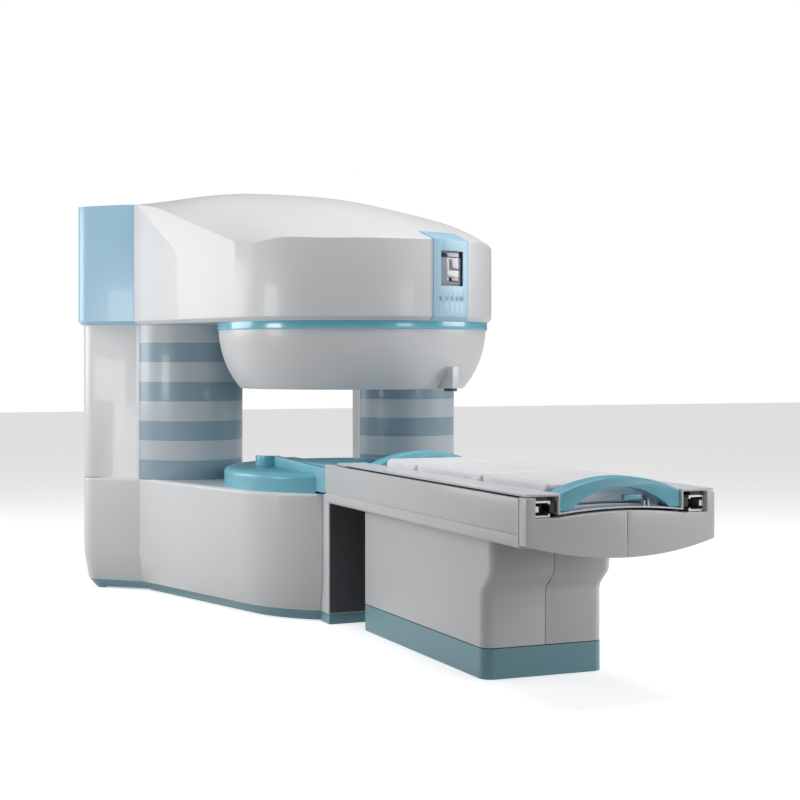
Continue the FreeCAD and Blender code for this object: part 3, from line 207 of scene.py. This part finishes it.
sky_abs = finish_of("sky_blue_abs", "#A9D2E9", 0.36, 0.0025, 0.0001, coat=0.1, ior=1.53)
teal_abs = finish_of("teal_abs", "#6FC0D4", 0.34, 0.0025, 0.0001, coat=0.15, ior=1.53)
plinth_abs = finish_of("grey_teal_abs", "#7AA9B6", 0.42, 0.002, 0.00015, ior=1.53, drift=0.06)
ring_abs = finish_of("bright_cyan_abs", "#74C8DE", 0.22, 0.004, 0.00005, coat=0.4, ior=1.53)
coloured = (
    ("cap_left_panel cap_right_panel display_panel", "light_blue", sky_abs),
    ("lower_pole_cover bridge_trough foot_handle head_handle lever_grip", "teal", teal_abs),
    ("base_plinth table_plinth", "plinth_teal", plinth_abs),
    ("pole_trim_ring", "trim_cyan", ring_abs),
)
for names, slot, material in coloured:
    for name in names.split():
        rolled(name, seam_roll)
        wear(name + "_finished", material)


# ------------------------------------------------------------------ striped columns
# Each column cover is a curved laminate sheet with broad level bands printed under a satin
# film: grey-blue and pale grey, each about 10 cm tall.

def striped_film():
    band = 0.1028          # height of one band
    first = 0.598          # lower edge of the lowest grey-blue band
    material = bpy.data.materials.new("striped_column_film")
    material.use_nodes = True
    tree = material.node_tree
    shader = tree.nodes["Principled BSDF"]
    place = add(tree, "TexCoord").outputs["Object"]
    height = add(tree, "SeparateXYZ", links={"Vector": place}).outputs["Z"]
    above = add(tree, "Math", {1: first}, {0: height}, operation="SUBTRACT").outputs[0]
    turns = add(tree, "Math", {1: 2 * band}, {0: above}, operation="DIVIDE").outputs[0]
    part = add(tree, "Math", links={0: turns}, operation="FRACT").outputs[0]
    # the print's edges are soft over about a millimetre
    wave = add(tree, "Math", {1: 0.25}, {0: part}, operation="SUBTRACT").outputs[0]
    away = add(tree, "Math", links={0: wave}, operation="ABSOLUTE").outputs[0]
    away_low = add(tree, "Math", {0: 1.25}, {1: part}, operation="SUBTRACT").outputs[0]
    nearest = add(tree, "Math", links={0: away, 1: away_low}, operation="MINIMUM").outputs[0]
    mask = add(tree, "MapRange", {"From Min": 0.245, "From Max": 0.255}, {"Value": nearest})
    slow = add(tree, "TexNoise", {"Scale": 2.0}, {"Vector": place})
    blue = add(tree, "HueSaturation", {"Color": rgb("#8DA6B4")}, {"Fac": slow.outputs["Fac"]})
    blend = add(tree, "Mix", {"B": rgb("#C3CBD2")},
                {"Factor": mask.outputs["Result"], "A": blue.outputs["Color"]}, data_type="RGBA")
    tree.links.new(blend.outputs["Result"], shader.inputs["Base Color"])
    fine = add(tree, "TexNoise", {"Scale": 500.0}, {"Vector": place})
    bump = add(tree, "Bump", {"Strength": 0.3, "Distance": 0.0001}, {"Height": fine.outputs["Fac"]})
    tree.links.new(bump.outputs["Normal"], shader.inputs["Normal"])
    shader.inputs["Roughness"].default_value = 0.4
    shader.inputs["Coat Weight"].default_value = 0.15
    return material


column_film = striped_film()
for cover in ("left_column_cover", "right_column_cover"):
    rolled(cover, seam_roll)
    wear(cover + "_finished", column_film)


# ------------------------------------------------------------------ rails, drive, glides
# Aluminium rail extrusions, clear anodised, carry the tray on black acetal glides. A rubber
# belt over two machined pulleys moves it, driven by a black enamelled gear motor.

anodised = finish_of("clear_anodised_aluminium", "#C9CBCD", 0.34, 0.0012, 0.00005, metallic=0.85,
                     stretch=(0.03, 1, 1))
turned_aluminium = finish_of("machined_aluminium", "#BFC1C3", 0.25, 0.0012, 0.0001, metallic=1.0)
black_acetal = finish_of("black_acetal", "#17181A", 0.4, 0.001, 0.00005, ior=1.48)
black_rubber = finish_of("black_rubber", "#131313", 0.75, 0.0015, 0.0003)
motor_enamel = finish_of("black_motor_enamel", "#1B1C1E", 0.35, 0.002, 0.0001)
wear("table_rails", anodised)
wear("drive_pulley idler_pulley", turned_aluminium)
wear("tray_glides lever_rod locator_lens", black_acetal)
wear("drive_belt", black_rubber)
wear("drive_motor", motor_enamel)


# ------------------------------------------------------------------ tray
# The tray is one folded fibre-composite section, white and slightly speckled, stiff enough
# to carry a patient clear of its rails.

tray_composite = finish_of("white_tray_composite", "#E4E4E8", 0.33, 0.0012, 0.00006, coat=0.2)
rolled("tray", tray_roll)
wear("tray_finished", tray_composite)


# ------------------------------------------------------------------ display and buttons
# A colour display sits back in its housing behind a dark frame, above five push buttons. It
# shows plain fields: a dark header, a grey picture area and a status bar. Each button has a
# small printed outline, and the outlines are plain shapes.

display_turn = math.radians(21)
outwards = Vector((math.cos(display_turn), math.sin(display_turn), 0))
sideways = Vector((-math.sin(display_turn), math.cos(display_turn), 0))


def reach_of(name, axis):
    """How far a CAD part reaches along one direction: its nearest and furthest."""
    along = [vertex.co.dot(axis) for vertex in nodes[name].data.vertices]
    return min(along), max(along)


def piece_from(work, name, body, material, sharp=30):
    """Turns a bmesh into a smooth-shaded piece that rides on a body."""
    mesh = bpy.data.meshes.new(name)
    bmesh.ops.recalc_face_normals(work, faces=work.faces)
    for face in work.faces:
        face.smooth = True
    work.to_mesh(mesh)
    work.free()
    mesh.set_sharp_from_angle(angle=math.radians(sharp))
    piece = bpy.data.objects.new(name, mesh)
    scene.collection.objects.link(piece)
    mesh.materials.append(material)
    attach(piece, body)
    return piece


def slab(name, across, heights, depths, material, body="scanner", edge=0.0004):
    """A thin plate that faces out from the display, with softened edges."""
    work = bmesh.new()
    bmesh.ops.create_cube(work, size=1.0)
    size = (depths[1] - depths[0], across[1] - across[0], heights[1] - heights[0])
    bmesh.ops.scale(work, vec=size, verts=work.verts)
    bmesh.ops.bevel(work, geom=work.edges[:], offset=edge, offset_type="OFFSET", affect="EDGES",
                    segments=2, profile=0.5, material=-1)
    bmesh.ops.rotate(work, cent=(0, 0, 0), matrix=Matrix.Rotation(display_turn, 3, "Z"),
                     verts=work.verts)
    middle = (outwards * (depths[0] + depths[1]) + sideways * (across[0] + across[1])) / 2
    middle.z = (heights[0] + heights[1]) / 2
    bmesh.ops.translate(work, vec=middle, verts=work.verts)
    return piece_from(work, name, body, material)


screen_front = reach_of("display_screen", outwards)[1]
screen_left, screen_right = reach_of("display_screen", sideways)
screen_low, screen_high = reach_of("display_screen", Vector((0, 0, 1)))
screen_wide = screen_right - screen_left
screen_tall = screen_high - screen_low


def screen_finish(name, colour, glow=0.0, second=None):
    """An LCD field behind glass: a fine pixel grid, a fade down the field and a faint glow."""
    material = bpy.data.materials.new(name)
    material.use_nodes = True
    tree = material.node_tree
    shader = tree.nodes["Principled BSDF"]
    place = add(tree, "TexCoord").outputs["Object"]
    height = add(tree, "SeparateXYZ", links={"Vector": place}).outputs["Z"]
    fade = add(tree, "MapRange", {"From Min": screen_low, "From Max": screen_high}, {"Value": height})
    mix = add(tree, "Mix", {"A": rgb(colour), "B": rgb(second or colour)},
              {"Factor": fade.outputs["Result"]}, data_type="RGBA")
    # the grid is drawn at 2 mm, coarser than the real pixels, so that it shows at all
    grid = add(tree, "TexNoise", {"Scale": 500.0, "Detail": 0.0}, {"Vector": place})
    tone = add(tree, "MapRange", {"To Min": 0.92, "To Max": 1.08}, {"Value": grid.outputs["Fac"]})
    shade = add(tree, "HueSaturation",
                links={"Color": mix.outputs["Result"], "Value": tone.outputs["Result"]})
    tree.links.new(shade.outputs["Color"], shader.inputs["Base Color"])
    tree.links.new(shade.outputs["Color"], shader.inputs["Emission Color"])
    shader.inputs["Emission Strength"].default_value = glow
    shader.inputs["Roughness"].default_value = 0.12
    shader.inputs["Coat Weight"].default_value = 0.5
    return material


dark_frame = finish_of("dark_display_frame", "#33383F", 0.35, 0.002, 0.00005, coat=0.1)
header_field = screen_finish("screen_header", "#1D2C40", 0.15, "#263A52")
picture_field = screen_finish("screen_picture", "#8E9098", 0.15, "#A3A5AC")
chart_field = screen_finish("screen_chart", "#6C6E76", 0.2, "#8A8C93")
status_field = screen_finish("screen_status", "#15171A", 0.1)
blue_key = screen_finish("screen_blue_key", "#3E8FC4", 0.4)
wear("display_screen", dark_frame)

frame_width = 0.008
left = screen_left + frame_width
right = screen_right - frame_width
low_edge = screen_low + frame_width
high_edge = screen_high - frame_width
depth = (screen_front, screen_front + 0.001)
raised = (screen_front + 0.001, screen_front + 0.0016)
slab("screen_picture", (left, right), (low_edge, high_edge), depth, picture_field)
slab("screen_header", (left, right), (high_edge - 0.14 * screen_tall, high_edge), raised, header_field)
slab("screen_chart", (left + 0.38 * screen_wide, right - 0.06 * screen_wide),
     (low_edge + 0.40 * screen_tall, high_edge - 0.18 * screen_tall), raised, chart_field)
bar = (low_edge + 0.08 * screen_tall, low_edge + 0.19 * screen_tall)
slab("screen_status_bar", (left + 0.36 * screen_wide, right - 0.10 * screen_wide), bar, raised, status_field)
slab("screen_blue_key", (left + 0.27 * screen_wide, left + 0.35 * screen_wide), bar, raised, blue_key)

button_film = finish_of("button_film", "#B7D8EA", 0.4, 0.001, 0.00004)
mark_ink = finish_of("grey_blue_ink", "#5F7F96", 0.5, 0.001, 0.00002)
for number, corners in enumerate((24, 3, 4, 3, 24), start=1):
    button = "display_button_%d" % number
    wear(button, button_film)
    front = reach_of(button, outwards)[1]
    across = sum(reach_of(button, sideways)) / 2
    height = sum(reach_of(button, Vector((0, 0, 1)))) / 2
    work = bmesh.new()
    bmesh.ops.create_circle(work, cap_ends=True, segments=corners, radius=0.0072)
    inner = bmesh.ops.inset_region(work, faces=work.faces[:], thickness=0.0014,
                                   use_boundary=True, use_even_offset=True)
    bmesh.ops.delete(work, geom=[face for face in work.faces if len(face.verts) == corners and
                                 face not in inner["faces"]], context="FACES")
    wall = bmesh.ops.extrude_face_region(work, geom=work.faces[:])
    bmesh.ops.translate(work, vec=(0, 0, 0.0004),
                        verts=[part for part in wall["geom"] if isinstance(part, bmesh.types.BMVert)])
    # stand it up, face it outwards, and point the second arrow the other way
    turn = Matrix.Rotation(display_turn, 4, "Z") @ Matrix.Rotation(math.pi / 2, 4, "Y")
    spin = Matrix.Rotation(math.pi if number == 4 else (math.pi / 4 if number == 3 else 0), 4, "Z")
    bmesh.ops.transform(work, matrix=turn @ spin, verts=work.verts)
    place = outwards * (front + 0.0001) + sideways * across
    bmesh.ops.translate(work, vec=(place.x, place.y, height), verts=work.verts)
    piece_from(work, "button_mark_%d" % number, button, mark_ink)


# ------------------------------------------------------------------ painted docking shade and shroud
# A dark grey plate on the docking block's front is painted shade: it stands for the shade that the table
# casts there. Behind the end cover a black shroud closes the gap under the tray, and a rounded bead hides
# each joint between a side panel and the end cover.

def plain_box(name, low_corner, high_corner, radius, material, body):
    """A closed block between two corners, its edges rolled."""
    work = bmesh.new()
    bmesh.ops.create_cube(work, size=1.0)
    size = [high - low for low, high in zip(low_corner, high_corner)]
    bmesh.ops.scale(work, vec=size, verts=work.verts)
    bmesh.ops.bevel(work, geom=work.edges[:], offset=radius, offset_type="OFFSET", affect="EDGES",
                    segments=3, profile=0.5, material=-1)
    middle = [(low + high) / 2 for low, high in zip(low_corner, high_corner)]
    bmesh.ops.translate(work, vec=middle, verts=work.verts)
    return piece_from(work, name, body, material)


dock_low, dock_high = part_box("docking_cover")
# painted shade: a dark grey plate over the docking block's front, where the table shades it
docking_shade_finish = finish_of("painted_shade_dark_grey", "#3C3D42", 0.6, 0.0015, 0.0002)
plain_box("docking_shade_plate", (dock_high.x - 0.001, dock_low.y + 0.006, dock_low.z + 0.004),
          (dock_high.x + 0.003, dock_high.y - 0.006, dock_high.z - 0.004), 0.0012,
          docking_shade_finish, "scanner")
beam_low, beam_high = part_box("table_beam")
plain_box("end_shroud", (beam_high.x + 0.004, -0.262, beam_low.z + 0.02),
          (beam_high.x + 0.012, 0.262, 0.681), 0.001, black_acetal, "scanner")
panel_low, panel_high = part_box("right_side_panel")
for turn in (-1, 1):
    near = turn * (panel_high.y - 0.004)
    far = turn * (panel_high.y + 0.002)
    plain_box("corner_bead_%s" % ("left" if turn < 0 else "right"),
              (panel_high.x - 0.014, min(near, far), panel_low.z + 0.014),
              (panel_high.x - 0.0005, max(near, far), panel_high.z), 0.0028,
              white_enamel, "scanner")


# ------------------------------------------------------------------ cushions
# Three foam pads in white vinyl lie on the tray: a short head pad, a back pad and a leg pad.
# Each swells a little between its rounded edges, and has no seam or piping of its own.

vinyl = finish_of("white_vinyl", "#E9E9EC", 0.45, 0.0022, 0.00035, sheen=0.15, drift=0.03)


pad_trim = Vector((0.006, 0.006, 0.008))      # how much less than the CAD pad it starts with
pad_voxel = 0.006                             # remesh spacing
pad_edge = 0.012                              # rounded edge before it swells
swell_limit = 0.006                           # how far a point may move as it swells


def pad(name):
    """A pad that swells between its edges, made from the CAD pad's box."""
    low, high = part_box(name)
    centre = (low + high) / 2
    size = high - low
    work = bmesh.new()
    bmesh.ops.create_cube(work, size=1.0)
    bmesh.ops.scale(work, vec=size - pad_trim, verts=work.verts)
    bmesh.ops.translate(work, vec=centre, verts=work.verts)
    bmesh.ops.bevel(work, geom=work.edges[:], offset=pad_edge, offset_type="OFFSET", affect="EDGES",
                    segments=3, profile=0.5, material=-1)
    mesh = bpy.data.meshes.new(name + "_cushion")
    work.to_mesh(mesh)
    work.free()
    piece = bpy.data.objects.new(name + "_cushion", mesh)
    scene.collection.objects.link(piece)
    remesh = piece.modifiers.new("remesh", "REMESH")
    remesh.mode = "VOXEL"
    remesh.voxel_size = pad_voxel
    settle(piece, low, high)
    piece.data.materials.append(vinyl)
    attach(piece, nodes[name]["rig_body"])
    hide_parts(name)
    return piece


def apply_modifiers(piece):
    """Turns a piece's modifiers into its own mesh."""
    graph = bpy.context.evaluated_depsgraph_get()
    made = bpy.data.meshes.new_from_object(piece.evaluated_get(graph))
    piece.modifiers.clear()
    piece.data = made


def settle(piece, low, high):
    """Swells a pad with a short cloth simulation, held inside its own box."""
    apply_modifiers(piece)
    flat = [vertex.co.copy() for vertex in piece.data.vertices]
    cloth = piece.modifiers.new("swell", "CLOTH")
    cloth.settings.use_pressure = True
    cloth.settings.uniform_pressure_force = 4.0
    cloth.settings.effector_weights.gravity = 0.0
    for number in range(1, 16):
        scene.frame_set(number)
    apply_modifiers(piece)
    scene.frame_set(1)
    for vertex, start in zip(piece.data.vertices, flat):
        step = vertex.co - start
        if step.length > swell_limit:
            step.length = swell_limit
        place = start + step
        for axis in range(3):
            place[axis] = min(max(place[axis], low[axis]), high[axis])
        vertex.co = place
    for face in piece.data.polygons:
        face.use_smooth = True


for name in ("head_pad", "back_pad", "leg_pad"):
    pad(name)


# ------------------------------------------------------------------ studio
# A pale floor and a white surround, with soft lights from the right, the left, above and the
# foot end, and a small one for the left covers. The camera doesn't see the lights themselves.

def soft_light(name, place, aim, power, width, colour="#FFFFFF"):
    data = bpy.data.lights.new(name, "AREA")
    data.energy = power
    data.shape = "RECTANGLE"
    data.size = width
    data.size_y = width * 0.8
    data.color = rgb(colour)[:3]
    lamp = bpy.data.objects.new(name, data)
    lamp.location = place
    lamp.visible_camera = False
    lamp.rotation_euler = (Vector(aim) - Vector(place)).to_track_quat("-Z", "Y").to_euler()
    scene.collection.objects.link(lamp)


floor_mesh = bpy.data.meshes.new("studio_floor")
sheet = bmesh.new()
bmesh.ops.create_grid(sheet, x_segments=1, y_segments=1, size=30.0)
sheet.to_mesh(floor_mesh)
sheet.free()
floor = bpy.data.objects.new("studio_floor", floor_mesh)
floor.location = (0, 0, cad_low.z - 0.0005)
scene.collection.objects.link(floor)
# a white floor this bright would light every underside, so it doesn't light the object
floor.visible_diffuse = False
floor_paint = finish_of("pale_floor", "#FBFBFB", 0.6, 0.02, 0.0001, drift=0.0)
floor.data.materials.append(floor_paint)
floor_shader = floor_paint.node_tree.nodes["Principled BSDF"]
floor_shader.inputs["Emission Color"].default_value = rgb("#FFFFFF")
floor_shader.inputs["Emission Strength"].default_value = 0.55

middle = Vector((0.3, 0.0, 1.0))
soft_light("right_key", (2.2, 5.8, 2.4), middle, 140, 3.0)
soft_light("left_fill", (-3.4, -5.0, 2.0), (-0.6, 0.0, 1.1), 120, 3.0)
soft_light("left_covers", (0.4, -3.1, 1.3), (-0.9, -1.05, 1.15), 20, 0.8)
soft_light("table_end", (5.0, 1.8, 1.4), (2.6, 0.0, 0.6), 24, 1.2)
soft_light("top", (1.4, 0.0, 5.2), (1.0, 0.0, 0.0), 150, 4.0)

# the surround is white where it is seen, and a softer grey as a source of light
world = bpy.data.worlds.new("white_surround")
world.use_nodes = True
surround = world.node_tree
background = surround.nodes["Background"]
background.inputs["Color"].default_value = rgb("#FFFFFF")
seen = add(surround, "LightPath").outputs["Is Camera Ray"]
level = add(surround, "MapRange", {"To Min": 0.19, "To Max": 1.0}, {"Value": seen})
surround.links.new(level.outputs["Result"], background.inputs["Strength"])
scene.world = world
scene.view_settings.view_transform = "Standard"

lens = bpy.data.cameras.new("camera")
lens.lens = 71.8
lens.sensor_width = 36.0
lens.shift_y = -0.0508
lens.clip_end = 100.0
camera = bpy.data.objects.new("camera", lens)
camera.location = (7.57, -2.94, 1.23)
camera.rotation_euler = Vector((-0.9210, 0.3897, 0.0)).to_track_quat("-Z", "Y").to_euler()
scene.collection.objects.link(camera)
scene.camera = camera
